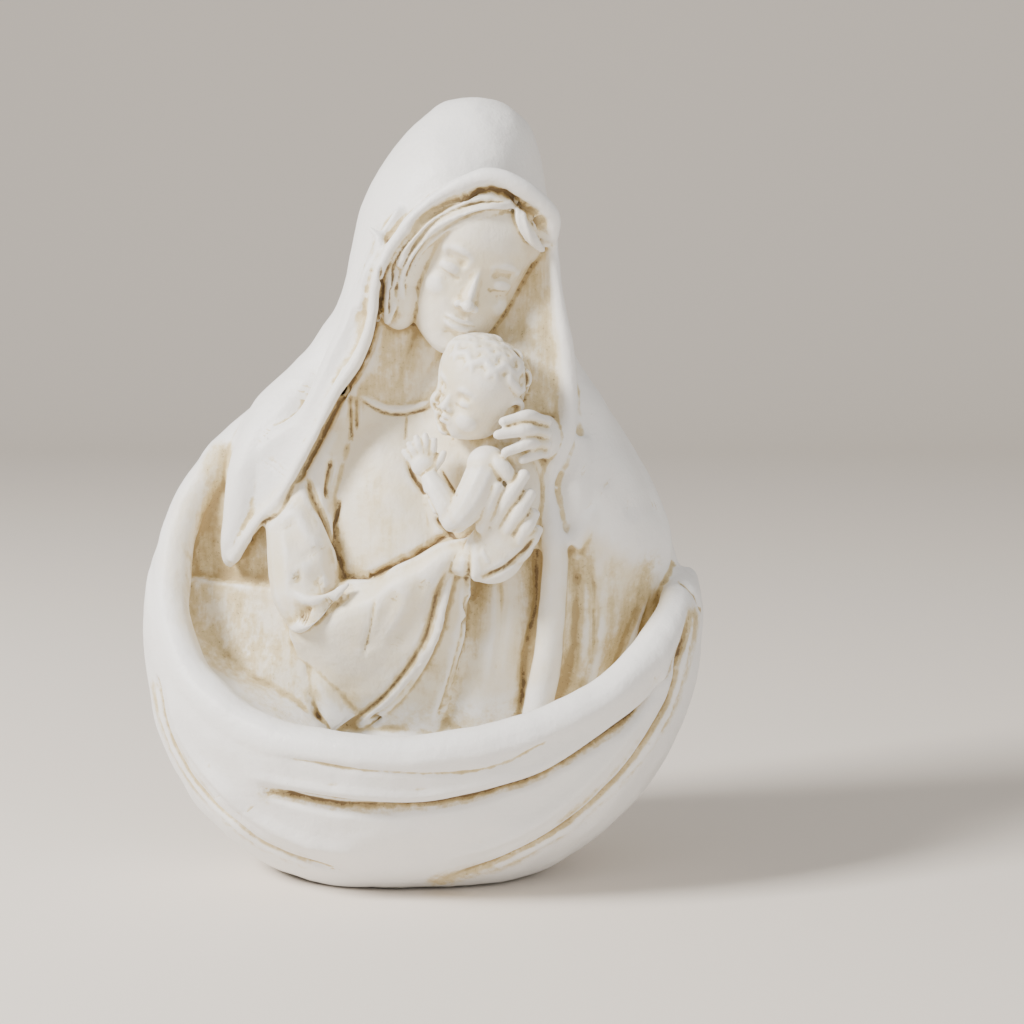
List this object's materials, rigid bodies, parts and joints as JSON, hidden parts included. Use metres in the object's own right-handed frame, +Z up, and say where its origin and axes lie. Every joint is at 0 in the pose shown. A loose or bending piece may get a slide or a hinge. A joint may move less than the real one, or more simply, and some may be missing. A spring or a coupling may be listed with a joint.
{
  "type": "mother and child figurine",
  "caption": "White painted mother and child figurine: a veiled half figure whose mantle sweeps down into an open bowl.",
  "frame": {"origin": "on the plane that the foot stands on, under the middle of the bounding box", "axes": "+Z up from the foot to the hood; -Y towards the viewer, out over the bowl's rim; +X to the viewer's right"},
  "size_m": [0.161, 0.1048, 0.2206],
  "materials": {
    "painted_casting": "satin"
  },
  "bodies": {
    "root": {"figurine": "painted_casting"}
  },
  "joints": []
}
